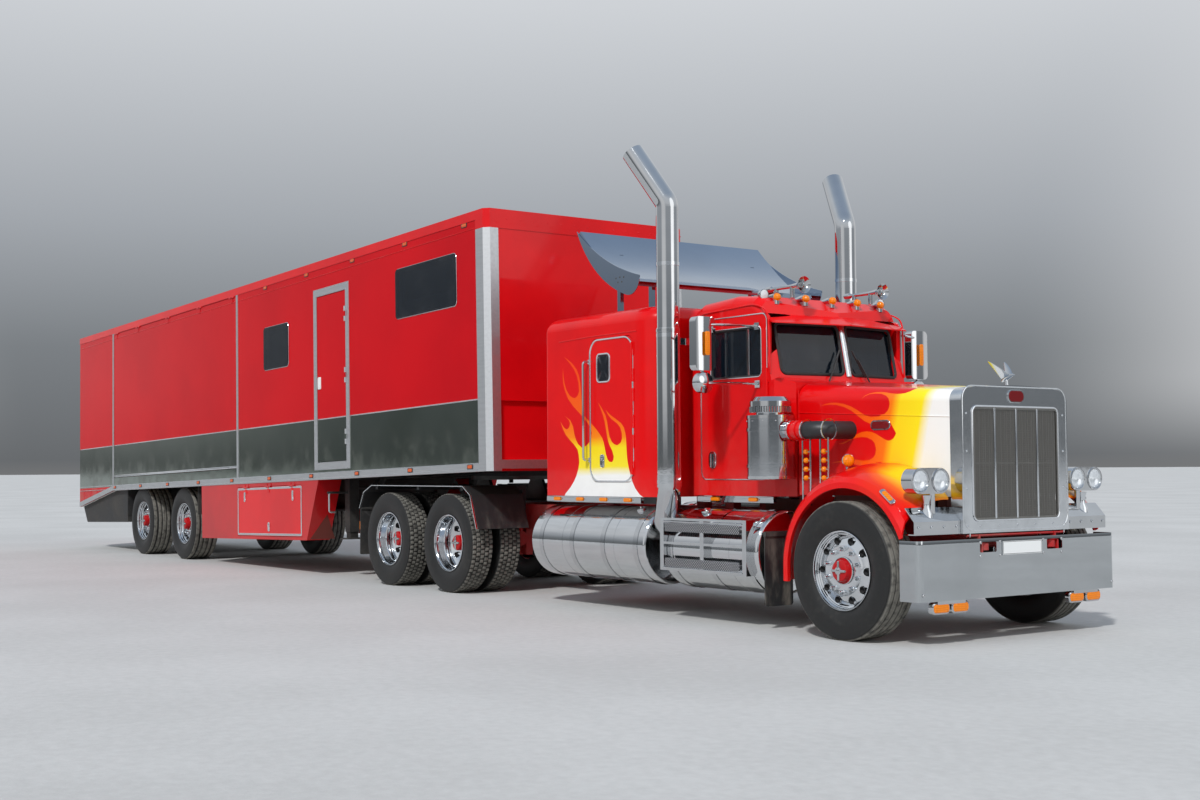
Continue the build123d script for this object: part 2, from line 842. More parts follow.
with BuildPart() as sleeper_door:
    with BuildSketch(beside(-sleeper_half_width + wall)):
        add(rounded_panel(sleeper_door_rear + panel_gap, sleeper_door_front - panel_gap,
                          sleeper_door_bottom + panel_gap, sleeper_door_top - panel_gap,
                          sleeper_door_corner - panel_gap))
    extrude(amount=wall)
    with BuildSketch(beside(-sleeper_half_width)):
        add(rounded_panel(*sleeper_window, 25))
    extrude(amount=-8, mode=Mode.SUBTRACT)
    for place in sleeper_hinges:
        add(knuckles((sleeper_hinge_x, sleeper_hinge_y, place), along_z, 0, piano_length))
        with Locations((sleeper_hinge_x - piano_leaf / 2, -sleeper_half_width - strap_sheet / 2,
                        place)):
            Box(piano_leaf, strap_sheet, piano_length)

# Hood: tapering shell from the cowl to the grille shell
hood_rear = cowl_front + 15
hood_front = shell_front - shell_depth
hood_bottom = 1080
hood_sheet = 20
# Sections: place along X, half width, shoulder height, crown height, shoulder radius
hood_sections = (
    (hood_rear, 700, 1985, 2030, 150),
    (hood_front, shell_half_width - 8, 1872, 1910, 85),
)


def hood_loft(inset, run):
    with BuildPart() as body:
        for place, half, shoulder, crown, radius in hood_sections:
            ahead = run if place == hood_front else -run
            with BuildSketch(across(place + ahead)) as section:
                with BuildLine():
                    Polyline(
                        (inset - half, shoulder - inset),
                        (inset - half, hood_bottom - 2 * run),
                        (half - inset, hood_bottom - 2 * run),
                        (half - inset, shoulder - inset),
                    )
                    ThreePointArc(
                        (inset - half, shoulder - inset),
                        (0, crown - inset),
                        (half - inset, shoulder - inset),
                    )
                make_face()
                fillet(section.vertices().group_by(Axis.Y)[-1], radius - inset)
        loft(ruled=True)
    return body


with BuildPart() as hood_panels:
    add(hood_loft(0, 0).part)
    add(hood_loft(hood_sheet, 5).part, mode=Mode.SUBTRACT)

# Fenders: arch from the front guard over the wheel and down behind it, with a rolled lip
fender_sheet = 12
fender_lip_radius = 640
fender_lip_y = 1140
fender_root_radius = 812
fender_root_y = 640
fender_front_angle = 24
fender_front = 596
fender_drop = 115


def fender_section(angle):
    """Plane that holds the fender's section at an angle above the road, right side."""
    turn = radians(angle)
    return Plane(origin=(0, 0, tyre_radius), x_dir=(0, -1, 0), z_dir=(-sin(turn), 0, cos(turn)))


def fender_profile():
    root = fender_root_radius
    lip_radius = fender_lip_radius
    lip_y = fender_lip_y
    with BuildSketch(mode=Mode.PRIVATE) as profile:
        with BuildLine():
            Line((fender_root_y, root), (fender_root_y, root - fender_sheet))
            ThreePointArc(
                (fender_root_y, root - fender_sheet),
                (930, root - fender_sheet - 34),
                (lip_y - 40, lip_radius + 60),
            )
            Polyline(
                (lip_y - 40, lip_radius + 60),
                (lip_y - fender_sheet, lip_radius + 22),
                (lip_y - fender_sheet, lip_radius - 6),
                (lip_y - 30, lip_radius - 6),
                (lip_y - 30, lip_radius - 6 - fender_sheet),
                (lip_y, lip_radius - 6 - fender_sheet),
                (lip_y, lip_radius + 26),
                (lip_y - 32, lip_radius + 68),
            )
            ThreePointArc((lip_y - 32, lip_radius + 68), (935, root - 34), (fender_root_y, root))
        make_face()
    return profile.sketch


with BuildPart() as fenders:
    with BuildSketch(fender_section(fender_front_angle)):
        add(fender_profile())
    revolve(axis=Axis((0, 0, tyre_radius), (0, -1, 0)), revolution_arc=180 - fender_front_angle)
    with BuildSketch(fender_section(180)):
        add(fender_profile())
    extrude(amount=fender_drop)
    add(hood_loft(-running_gap, 5).part, mode=Mode.SUBTRACT)
    with Locations((fender_front + 200, -900, tyre_radius + 300)):
        Box(400, 800, 600, mode=Mode.SUBTRACT)
    mirror(about=Plane.XZ)

# Grille shell: bright frame with an arched top, hollow behind, open where the grille stands
grille_half_width = 493
grille_bottom = 904
grille_top = 1751
shell_sheet = 14


shell_shoulder_drop = 42
shell_corner = 95


def shell_outline(inset):
    half = shell_half_width - inset
    shoulder = shell_top - shell_shoulder_drop - inset
    with BuildSketch(mode=Mode.PRIVATE) as outline:
        with BuildLine():
            Polyline(
                (-half, shoulder),
                (-half, shell_bottom + inset),
                (half, shell_bottom + inset),
                (half, shoulder),
            )
            ThreePointArc((-half, shoulder), (0, shell_top - inset), (half, shoulder))
        make_face()
        fillet(outline.vertices().group_by(Axis.Y)[-1], shell_corner - inset)
    return outline.sketch


with BuildPart() as grille_shell:
    with BuildSketch(across(hood_front + running_gap)):
        add(shell_outline(0))
    extrude(amount=shell_depth - running_gap)
    with BuildSketch(across(hood_front - 1)):
        add(shell_outline(shell_sheet))
    extrude(amount=shell_depth - shell_sheet + 1, mode=Mode.SUBTRACT)
    with BuildSketch(across(hood_front)):
        with Locations((0, (grille_bottom + grille_top) / 2)):
            RectangleRounded(2 * grille_half_width, grille_top - grille_bottom, 30)
    extrude(amount=shell_depth + 10, mode=Mode.SUBTRACT)
    for side in (-1, 1):
        with BuildSketch(beside(side * hood_ear_y - 6)):
            with Locations((hood_pivot_x, (hood_pivot_z + shell_bottom) / 2)):
                Rectangle(36, shell_bottom - hood_pivot_z + 2)
            with Locations((hood_pivot_x, hood_pivot_z)):
                Circle(18)
                Circle(hood_pin_radius + running_gap, mode=Mode.SUBTRACT)
        extrude(amount=-12)

# Grille: frame, fine upright blades and three wide bright bars
blade_count = 44
blade_thickness = 4
blade_depth = 14
bar_width = 16
grille_width = 2 * grille_half_width - 2 * running_gap
grille_height = grille_top - grille_bottom - 2 * running_gap
with BuildPart() as grille_bars:
    with BuildSketch(across(shell_front - shell_sheet)):
        with Locations((0, (grille_bottom + grille_top) / 2)):
            RectangleRounded(grille_width, grille_height, 30 - running_gap)
            RectangleRounded(grille_width - 36, grille_height - 36, 15, mode=Mode.SUBTRACT)
            with GridLocations(grille_width / 4, 1, 3, 1):
                Rectangle(bar_width, grille_height - 30)
    extrude(amount=shell_sheet + 4)
    with BuildSketch(across(shell_front - shell_sheet - blade_depth)):
        with Locations((0, (grille_bottom + grille_top) / 2)):
            with GridLocations(grille_width / blade_count, 1, blade_count - 1, 1):
                Rectangle(blade_thickness, grille_height - 20)
            Rectangle(grille_width - 4, 14)
    extrude(amount=blade_depth)

# Front corner guards with the headlight pods on short stalks
guard_inner = shell_half_width + 2
guard_outer = 1105
guard_sheet = 8
lamp_x = 664
lamp_y = 904
lamp_z = 1201
pod_width = 405
pod_height = 190
pod_depth = 100
lens_radius = 82
with BuildPart() as headlights:
    with BuildSketch(beside(-guard_inner)):
        with BuildLine():
            Polyline(
                (fender_front, shell_bottom),
                (690, shell_bottom),
                (690, 905),
                (600, 1005),
                (fender_front, 1006),
                (fender_front, 1006 - guard_sheet),
                (597, 1005 - guard_sheet),
                (690 - guard_sheet, 902),
                (690 - guard_sheet, shell_bottom + guard_sheet),
                (fender_front, shell_bottom + guard_sheet),
                close=True,
            )
        make_face()
    extrude(amount=guard_outer - guard_inner)
    with BuildSketch(across(lamp_x - pod_depth)):
        with Locations((-lamp_y, lamp_z)):
            SlotOverall(pod_width, pod_height)
    extrude(amount=pod_depth)
    with BuildSketch(across(lamp_x)):
        for reach in (-1, 1):
            with Locations((-lamp_y + reach * (pod_width - pod_height) / 2, lamp_z)):
                Circle(lens_radius)
    extrude(amount=-25, mode=Mode.SUBTRACT)
    with BuildSketch(level(960)):
        with Locations((lamp_x - 42, -lamp_y + 60)):
            Circle(22)
    extrude(amount=lamp_z - 960)
    mirror(about=Plane.XZ)

# Intake ducts: elbow from the hood's side to the air cleaner's outlet, split there
cleaner_x = -1000
cleaner_y = 960
cleaner_radius = 195
cleaner_bottom = 1209
cleaner_top = 1732
cleaner_cap_bottom = 1752
cleaner_cap_top = 1882
cleaner_cap_radius = 166
cleaner_neck_radius = 120
duct_radius = 72
duct_height = 1600
outlet_reach = 60
duct_split_x = cleaner_x + cleaner_radius + outlet_reach
duct_turn_x = -420
with BuildPart() as intake_ducts:
    with BuildLine() as route:
        FilletPolyline(
            (duct_split_x + 6, -cleaner_y, duct_height),
            (duct_turn_x, -cleaner_y, duct_height),
            (duct_turn_x + 40, -600, duct_height),
            radius=150,
        )
    with BuildSketch(across(duct_split_x + 6)):
        with Locations((-cleaner_y, duct_height)):
            Circle(duct_radius)
    sweep(path=route.wire())
    for place in (duct_split_x + 6, duct_split_x + 80):
        with BuildSketch(across(place)):
            with Locations((-cleaner_y, duct_height)):
                Circle(duct_radius + 10)
        extrude(amount=26)
    add(hood_loft(-running_gap, 5).part, mode=Mode.SUBTRACT)
    mirror(about=Plane.XZ)

# Air cleaners: canister with two bands, mushroom cap, outlet stub and bracket to the cowl
with BuildPart() as air_cleaners:
    with BuildSketch(Plane(origin=(cleaner_x, -cleaner_y, 0), x_dir=(1, 0, 0), z_dir=(0, -1, 0))):
        with BuildLine():
            Polyline(
                (0, cleaner_bottom),
                (cleaner_radius - 25, cleaner_bottom),
                (cleaner_radius, cleaner_bottom + 25),
                (cleaner_radius, cleaner_top - 25),
                (cleaner_radius - 25, cleaner_top),
                (cleaner_neck_radius, cleaner_top),
                (cleaner_neck_radius, cleaner_cap_bottom),
                (cleaner_cap_radius, cleaner_cap_bottom),
                (cleaner_cap_radius, cleaner_cap_top - 45),
                (cleaner_cap_radius - 35, cleaner_cap_top),
                (0, cleaner_cap_top),
                close=True,
            )
        make_face()
        for height in (cleaner_bottom + 110, cleaner_top - 120):
            with Locations((cleaner_radius / 2, height)):
                Rectangle(cleaner_radius + 12, 26)
    revolve(axis=Axis((cleaner_x, -cleaner_y, 0), (0, 0, 1)))
    with BuildSketch(across(cleaner_x)):
        with Locations((-cleaner_y, duct_height)):
            Circle(duct_radius)
    extrude(amount=cleaner_radius + outlet_reach)
    with Locations((cleaner_x - 20, -(cab_half_width + 20), cleaner_bottom + 110)):
        Box(150, 150, 60)
    with Locations((cleaner_x - 20, -(cab_half_width + 20), cleaner_top - 120)):
        Box(150, 150, 40)
    add(cab_block(-running_gap).part, mode=Mode.SUBTRACT)
    mirror(about=Plane.XZ)

# Front bumper: sheet with swept ends, two openings for the tow eyes and a bare plate carrier
bumper_wrap = 190
plate_width = 460
plate_height = 110
plate_middle = 692
bumper_corner = 45
with BuildPart() as front_bumper:
    for inset, mode in ((0, Mode.ADD), (bumper_sheet, Mode.SUBTRACT)):
        with BuildSketch(level(bumper_bottom)) as bumper_plan:
            with Locations((bumper_front - bumper_wrap / 2 - inset, 0)):
                Rectangle(bumper_wrap, 2 * (bumper_half_width - inset))
            fillet(bumper_plan.vertices().group_by(Axis.X)[-1], bumper_corner - inset)
        extrude(amount=bumper_top - bumper_bottom, mode=mode)
    with BuildSketch(across(bumper_front - 60)):
        with Locations((-tow_y, (tow_bottom + tow_top) / 2), (tow_y, (tow_bottom + tow_top) / 2)):
            RectangleRounded(tow_width, tow_top - tow_bottom, 12)
    extrude(amount=100, mode=Mode.SUBTRACT)
    with Locations((bumper_front + plate_thickness / 2, 0, plate_middle)):
        Box(plate_thickness, plate_width, plate_height)

# Exhaust stacks: elbow under the cab, upright pipe, and a top turned back and out
stack_x = -2180
stack_y = 1090
stack_radius = 101
stack_bend_z = 3640
stack_tip_reach = 640
stack_turn = 40
shield_radius = 108
shield_bottom = 1150
shield_top = 2500
elbow_z = 1000
elbow_x = -2300
elbow_inner_y = 470
elbow_inner_z = 760
with BuildPart() as exhaust_stacks:
    tip_drop = radians(stack_turn)
    with BuildLine() as stack_route:
        FilletPolyline(
            (elbow_x, -elbow_inner_y, elbow_inner_z),
            (elbow_x, -stack_y + 30, elbow_inner_z),
            (stack_x, -stack_y, elbow_z + 120),
            (stack_x, -stack_y, stack_bend_z),
            (
                stack_x - stack_tip_reach * sin(tip_drop) * 0.75,
                -stack_y - stack_tip_reach * sin(tip_drop) * 0.35,
                stack_bend_z + stack_tip_reach * cos(tip_drop),
            ),
            radius=130,
        )
    with BuildSketch(beside(-elbow_inner_y)):
        with Locations((elbow_x, elbow_inner_z)):
            Circle(stack_radius)
    sweep(path=stack_route.wire())
    with BuildSketch(level(shield_bottom)):
        with Locations((stack_x, -stack_y)):
            Circle(shield_radius)
    extrude(amount=shield_top - shield_bottom)
    for height in (shield_bottom - 12, shield_top):
        with BuildSketch(level(height)):
            with Locations((stack_x, -stack_y)):
                Circle(shield_radius + 3)
        extrude(amount=24)
    with Locations((stack_x + 40, -(cab_half_width + stack_y - stack_radius) / 2 + 2, 2420)):
        Box(40, stack_y - stack_radius - cab_half_width + 24, 60)
    add(cab_block(-running_gap).part, mode=Mode.SUBTRACT)
    mirror(about=Plane.XZ)

# Fuel tanks: a short one with steps below each door and a long one below the sleeper
tank_radius = 345
tank_y = 842
tank_z = 612
# Tanks: rear end, front end, places of the straps
tank_table = (
    (-2170, -930, (-2050, -1540, -1050)),
    (-4265, -2430, (-4080, -3560, -3060, -2560)),
)
strap_width = 60
strap_thickness = 6
with BuildPart() as fuel_tanks:
    for rear, front, straps in tank_table:
        with BuildSketch(across(rear)):
            with Locations((-tank_y, tank_z)):
                Circle(tank_radius)
        extrude(amount=front - rear)
        fillet(faces(Select.LAST).filter_by(GeomType.PLANE).edges(), 30)
    mirror(about=Plane.XZ)

with BuildPart() as tank_straps:
    for rear, front, straps in tank_table:
        for place in straps:
            with BuildSketch(across(place - strap_width / 2)):
                with Locations((-tank_y, tank_z)):
                    Circle(tank_radius + running_gap + strap_thickness)
                with Locations((-(half_frame + 70), tank_z)):
                    Rectangle(140 - 2 * running_gap, 2 * tank_radius - 60)
                with Locations((-tank_y, tank_z)):
                    Circle(tank_radius + running_gap, mode=Mode.SUBTRACT)
            extrude(amount=strap_width)
    step_rear, step_front = -2140, -1010
    step_bottom, step_top = 430, 880
    for height in (step_bottom, (step_bottom + step_top) / 2, step_top - 20):
        with BuildSketch(level(height)):
            with Locations(((step_rear + step_front) / 2, -1180)):
                Rectangle(step_front - step_rear, 100)
        extrude(amount=20)
    for place in (step_rear + 25, step_front - 25, (step_rear + step_front) / 2):
        with BuildSketch(across(place - 25)):
            with Locations((-1190, (step_bottom + step_top) / 2)):
                Rectangle(80, step_top - step_bottom)
        extrude(amount=50)
    with BuildSketch(across(-2165)):
        with Locations((-tank_y, tank_z)):
            Circle(tank_radius + running_gap)
    extrude(amount=1230, mode=Mode.SUBTRACT)
    mirror(about=Plane.XZ)

# Side lamp strips below the cab and the sleeper, each with its amber lamps
strip_height = 60
strip_depth = 30
with BuildPart() as side_strips:
    for rear, front, y, top in (
        (-2190, cab_front - 60, cab_half_width - 70, cab_bottom),
        (sleeper_rear + 10, sleeper_front - 260, sleeper_half_width - 60, sleeper_bottom),
    ):
        with BuildSketch(beside(-y)):
            with Locations(((rear + front) / 2, top - strip_height / 2)):
                Rectangle(front - rear, strip_height)
        extrude(amount=strip_depth + 10)
        lamps = 2 if y < 900 else 4
        with BuildSketch(beside(-y - strip_depth - 10)):
            with Locations(((rear + front) / 2, top - strip_height / 2)):
                with GridLocations((front - rear) / lamps, 1, lamps, 1):
                    RectangleRounded(110, 36, 12)
        extrude(amount=14)
    mirror(about=Plane.XZ)

# Mudguards over the drive wheels, one folded sheet each side with stays to the frame, and a
# flap behind each front wheel on a bar from the rail
guard_top = 1130
guard_sheet_thickness = 8
flap_place = -900
flap_bar = 36
flap_sheet = 12
flap_reach = 1130
flap_width = 300
flap_top = 770
flap_bottom = 190
mudguard_inner = 610
mudguard_outer = 1255
with BuildPart() as drive_mudguards:
    with BuildSketch(beside(-mudguard_inner)) as mudguard_side:
        with BuildLine():
            Polyline(
                (-5200, 690),
                (-5330, 1040),
                (-5480, guard_top),
                (-7560, guard_top),
                (-7760, 1050),
                (-7870, 860),
            )
        trace(line_width=guard_sheet_thickness)
    extrude(amount=mudguard_outer - mudguard_inner)
    for place in (-5560, -6515, -7500):
        with BuildSketch(beside(-half_frame - running_gap)):
            with Locations((place, (rail_top - 60 + guard_top) / 2)):
                Rectangle(50, guard_top - rail_top + 60)
        extrude(amount=40)
        with BuildSketch(beside(-half_frame - running_gap)):
            with Locations((place, guard_top - 24)):
                Rectangle(50, 40)
        extrude(amount=mudguard_outer - half_frame - 40)
    with BuildSketch(across(flap_place - flap_bar / 2)):
        with Locations((-(half_frame + flap_reach) / 2, flap_top)):
            Rectangle(flap_reach - half_frame - 2 * running_gap, flap_bar)
    extrude(amount=flap_bar)
    with BuildSketch(across(flap_place - flap_sheet / 2)):
        with Locations((flap_width / 2 - flap_reach, (flap_bottom + flap_top) / 2)):
            RectangleRounded(flap_width, flap_top - flap_bottom, 30)
    extrude(amount=flap_sheet)
    mirror(about=Plane.XZ)

# Wind deflector: curved blade across the roof between two drop-shaped end plates, on posts
deflector_half_width = 1120
with BuildPart() as wind_deflector:
    with BuildSketch(beside(-deflector_half_width)):
        with BuildLine():
            ThreePointArc((-2620, 3000), (-3030, 3190), (-3480, 3560))
            Line((-3480, 3560), (-3500, 3540))
            ThreePointArc((-3500, 3540), (-3090, 3110), (-2640, 2960))
            Line((-2640, 2960), (-2620, 3000))
        make_face()
    extrude(amount=-2 * deflector_half_width)
    for side in (-1, 1):
        with BuildSketch(beside(side * deflector_half_width)):
            with BuildLine():
                ThreePointArc((-2545, 3045), (-3080, 3250), (-3530, 3565))
                ThreePointArc((-3530, 3565), (-3130, 3080), (-2760, 2890))
                ThreePointArc((-2760, 2890), (-2585, 2930), (-2545, 3045))
            make_face()
        extrude(amount=side * -8)
    for place, top in ((-2760, 3040), (-3250, 3330)):
        for reach in (-820, 820):
            with BuildSketch(level(sleeper_top)):
                with Locations((place, reach)):
                    Rectangle(50, 40)
            extrude(amount=top - sleeper_top)

# Roof: horns, marker lamps and spot lamps of the cab, amber lamps below the bumper
horn_y = 470
horn_z = 2850
marker_places = (-620, -310, 0, 310, 620)
fog_y = 777
fog_z = 278
spot_x = -1345
spot_y = 700
spot_z = 2775
spot_radius = 50
with BuildPart() as lamps_and_horns:
    for y in marker_places:
        with BuildSketch(beside(y - 38)):
            with BuildLine():
                Polyline(
                    (-1290, 2700),
                    (-1290, 2790),
                    (-1230, 2775),
                    (-1205, 2735),
                    (-1215, 2690),
                    close=True,
                )
            make_face()
        extrude(amount=-76)
    for side in (-1, 1):
        with BuildSketch(across(-1560)):
            with Locations((side * horn_y, horn_z)):
                Circle(16)
        extrude(amount=330)
        horn_axis = Axis((0, side * horn_y, horn_z), (1, 0, 0))
        with BuildSketch(beside(side * horn_y)):
            with BuildLine():
                Polyline(
                    (-1330, horn_z),
                    (-1330, horn_z + 16),
                    (-1180, horn_z + 30),
                    (-1110, horn_z + 72),
                    (-1100, horn_z + 72),
                    (-1100, horn_z + 60),
                    (-1160, horn_z),
                    close=True,
                )
            make_face()
        revolve(axis=horn_axis)
        with BuildSketch(level(2745)):
            with Locations((-1450, side * horn_y), (-1250, side * horn_y)):
                Rectangle(30, 30)
        extrude(amount=horn_z - 2745)
        with BuildSketch(beside(side * spot_y)):
            with BuildLine():
                Polyline(
                    (spot_x - 75, spot_z),
                    (spot_x - 70, spot_z + 20),
                    (spot_x - 45, spot_z + spot_radius - 8),
                    (spot_x - 7, spot_z + spot_radius),
                    (spot_x, spot_z + spot_radius - 4),
                    (spot_x, spot_z),
                    close=True,
                )
            make_face()
        revolve(axis=Axis((0, side * spot_y, spot_z), (1, 0, 0)))
        with BuildSketch(level(roof_edge - 60)):
            with Locations((spot_x - 35, side * spot_y)):
                Circle(9)
        extrude(amount=spot_z - roof_edge + 60)
        with BuildSketch(across(bumper_front - 70)):
            for reach in (-104, 104):
                with Locations((side * fog_y + reach, fog_z)):
                    SlotOverall(186, 90)
            with Locations((side * fog_y, fog_z)):
                Rectangle(60, 20)
            with Locations((side * fog_y, bumper_bottom + 15)):
                Rectangle(300, 90)
        extrude(amount=60)
    add(cab_block(-running_gap).part, mode=Mode.SUBTRACT)
    add(side_strips.part)


# Trailer: everything below is drawn from the kingpin, level, and pitched when it is placed
wall_face = box_half_width - 7
wall_inner = wall_face - side_wall
floor_bottom = 40
floor_thickness = 50
tail_kink = -10300
tail_drop = 255
ramp_thickness = 60
tail_slope = tail_drop / (tail_kink - box_rear)
roof_thickness = 60
roof_skirt = 40
cap_bottom = 2480
post_side = 1444
post_front = 1142
post_chamfer = 55
front_face = box_front + 6
walk_door = (-2400, -1600, 190, 2240)
flap_opening = (-10270, -4990, 190, 2570)
window_table = ((-4010, -3280, 1487, 1995), (-290, 1010, 1764, 2270))
leaf_thickness = 45
ramp_bottom = (floor_bottom + floor_thickness - tail_drop + ramp_thickness * tail_slope
               + panel_gap)
ramp_top = box_top - roof_thickness - panel_gap

# Hinge places of the trailer's leaves
ramp_hinge_x = box_rear - knuckle_out
ramp_hinge_z = ramp_bottom - panel_gap / 2
ramp_hinges = (-900, -300, 300, 900)
side_hinge_y = -wall_face - knuckle_out
flap_hinge_z = flap_opening[3] - panel_gap / 2
flap_hinges = (-5140, -6371, -7687, -9059, -10120)
hatch_opening = (-4980, -2880, -725, -69)
hatch_hinge_z = hatch_opening[3] - panel_gap / 2
hatch_hinges = (-4680, -3930, -3180)
frame_proud = 7
door_hinge_x = walk_door[1] - panel_gap / 2
door_hinge_y = side_hinge_y - frame_proud
door_hinges = (480, 1215, 1950)


def true_height(x, height):
    """Height in the trailer's frame, at x, of what lies at a height above the level road."""
    return (height - trailer_lift - x * sin(pitch)) / cos(pitch)


def ground_height(x):
    """Height in the trailer's frame of a wheel centre that stands on the road at x."""
    return true_height(x, trailer_tyre_radius)


def wall_outline():
    with BuildSketch(mode=Mode.PRIVATE) as outline:
        with BuildLine():
            Polyline(
                (post_side, box_bottom),
                (tail_kink, box_bottom),
                (box_rear, box_bottom - tail_drop),
                (box_rear, box_top - roof_thickness),
                (post_side, box_top - roof_thickness),
                close=True,
            )
        make_face()
        for rear, front, bottom, top in window_table:
            with Locations(((rear + front) / 2, (bottom + top) / 2)):
                RectangleRounded(front - rear, top - bottom, 30, mode=Mode.SUBTRACT)
    return outline.sketch


with BuildPart() as trailer_wall_left:
    with BuildSketch(beside(wall_face)):
        add(wall_outline())
    extrude(amount=side_wall)

with BuildPart() as trailer_wall_right:
    with BuildSketch(beside(-wall_inner)):
        add(wall_outline())
        for rear, front, bottom, top in (walk_door, flap_opening):
            with Locations(((rear + front) / 2, (bottom + top) / 2)):
                Rectangle(front - rear, top - bottom, mode=Mode.SUBTRACT)
    extrude(amount=side_wall)

with BuildPart() as trailer_windows:
    for side in (-1, 1):
        for rear, front, bottom, top in window_table:
            middle = ((rear + front) / 2, (bottom + top) / 2)
            with BuildSketch(beside(side * wall_face)):
                with Locations(middle):
                    RectangleRounded(front - rear + 50, top - bottom + 50, 45)
            extrude(amount=-side * 12)
            with BuildSketch(beside(side * wall_face)):
                with Locations(middle):
                    RectangleRounded(front - rear - 2 * running_gap, top - bottom - 2 * running_gap,
                                     30 - running_gap)
            extrude(amount=side * 40)

with BuildPart() as trailer_floor:
    with BuildSketch(beside(-wall_inner)):
        with BuildLine():
            Polyline(
                (box_front - side_wall, floor_bottom),
                (box_front - side_wall, floor_bottom + floor_thickness),
                (tail_kink, floor_bottom + floor_thickness),
                (box_rear, floor_bottom + floor_thickness - tail_drop),
                (box_rear, floor_bottom - tail_drop),
                (tail_kink, floor_bottom),
                close=True,
            )
        make_face()
    extrude(amount=-2 * wall_inner)
    for place in ramp_hinges:
        add(knuckles((ramp_hinge_x, place, ramp_hinge_z), along_y, 1))
        for middle in end_places(place):
            with Locations((box_rear - strap_sheet / 2, middle, ramp_hinge_z - plate_reach / 2)):
                Box(strap_sheet, knuckle_length, plate_reach)

# Front wall: its lower part set back behind the flat panel
front_recess = 700
with BuildPart() as trailer_front_wall:
    with BuildSketch(beside(-post_front)):
        with BuildLine():
            Polyline(
                (box_front - side_wall, box_bottom),
                (box_front - side_wall, box_top - roof_thickness),
                (box_front, box_top - roof_thickness),
                (box_front, front_recess),
                (box_front - side_wall + 25, front_recess),
                (box_front - side_wall + 25, box_bottom),
                close=True,
            )
        make_face()
    extrude(amount=-2 * post_front)


def post_outline(side):
    with BuildSketch(mode=Mode.PRIVATE) as outline:
        with BuildLine():
            Polyline(
                (post_side, side * box_half_width),
                (front_face - post_chamfer, side * box_half_width),
                (front_face, side * (box_half_width - post_chamfer)),
                (front_face, side * post_front),
                (box_front - side_wall, side * post_front),
                (box_front - side_wall, side * wall_inner),
                (post_side, side * wall_inner),
                close=True,
            )
        make_face()
    return outline.sketch


# Roof: flat deck with a skirt over the walls and a cap over the front wall and the posts
with BuildPart() as trailer_roof:
    with BuildSketch(level(box_top - roof_thickness)):
        with BuildLine():
            Polyline(
                (box_rear, -box_half_width),
                (front_face - post_chamfer, -box_half_width),
                (front_face, -box_half_width + post_chamfer),
                (front_face, box_half_width - post_chamfer),
                (front_face - post_chamfer, box_half_width),
                (box_rear, box_half_width),
                close=True,
            )
        make_face()
    extrude(amount=roof_thickness)
    for side in (-1, 1):
        with BuildSketch(level(cap_bottom)):
            add(post_outline(side))
        extrude(amount=box_top - roof_thickness - cap_bottom)
        with BuildSketch(beside(side * wall_face)):
            with Locations(((box_rear + post_side) / 2, box_top - roof_thickness - roof_skirt / 2)):
                Rectangle(post_side - box_rear, roof_skirt)
        extrude(amount=-side * 7)
    with Locations(((box_front + front_face) / 2, 0, (cap_bottom + box_top - roof_thickness) / 2)):
        Box(front_face - box_front, 2 * post_front, box_top - roof_thickness - cap_bottom)
    skirt_bottom = box_top - roof_thickness - roof_skirt
    for place in flap_hinges:
        add(knuckles((place, side_hinge_y, flap_hinge_z), along_x, 1))
        for middle in end_places(place):
            with Locations((middle, -wall_face - 3.5, (flap_hinge_z + skirt_bottom + 1) / 2)):
                Box(knuckle_length, 7, skirt_bottom + 1 - flap_hinge_z)

# Bright frame: corner posts, bottom rails, upright strips and the door's frame
strip_width = 62
bottom_rail = 80
door_frame = 92
with BuildPart() as trailer_trim:
    for side in (-1, 1):
        with BuildSketch(level(box_bottom)):
            add(post_outline(side))
        extrude(amount=cap_bottom - box_bottom)
        with BuildSketch(beside(side * wall_face)):
            with BuildLine():
                Polyline(
                    (post_side, box_bottom),
                    (tail_kink, box_bottom),
                    (box_rear, box_bottom - tail_drop),
                    (box_rear, box_bottom - tail_drop + bottom_rail),
                    (tail_kink, box_bottom + bottom_rail),
                    (post_side, box_bottom + bottom_rail),
                    close=True,
                )
            make_face()
            for place in (flap_opening[0] - strip_width / 2, flap_opening[1] + strip_width / 2):
                with Locations((place, (box_bottom + bottom_rail + cap_bottom + 100) / 2)):
                    Rectangle(strip_width, cap_bottom + 100 - box_bottom - bottom_rail)
        extrude(amount=-side * 7)
    with BuildSketch(beside(-wall_face)):
        rear, front, bottom, top = walk_door
        with Locations(((rear + front) / 2, (bottom + top) / 2)):
            Rectangle(front - rear + 2 * door_frame, top - bottom + 2 * door_frame)
            Rectangle(front - rear, top - bottom, mode=Mode.SUBTRACT)
    extrude(amount=frame_proud)
    for place in door_hinges:
        add(knuckles((door_hinge_x, door_hinge_y, place), along_z, 1))
        for middle in end_places(place):
            with Locations((door_hinge_x + plate_reach / 2,
                            -wall_face - frame_proud - strap_sheet / 2, middle)):
                Box(plate_reach, strap_sheet, knuckle_length)
    rail_back = box_front - side_wall + 25
    with Locations(((front_face + rail_back) / 2, 0, 50)):
        Box(front_face - rail_back, 2 * post_front, 90)


def leaf(opening):
    """Door leaf in the right wall, a panel gap smaller than its opening on every side."""
    rear, front, bottom, top = opening
    with BuildPart() as panel:
        with BuildSketch(beside(-wall_face + leaf_thickness)):
            with Locations(((rear + front) / 2, (bottom + top) / 2)):
                Rectangle(front - rear - 2 * panel_gap, top - bottom - 2 * panel_gap)
        extrude(amount=leaf_thickness)
    return panel


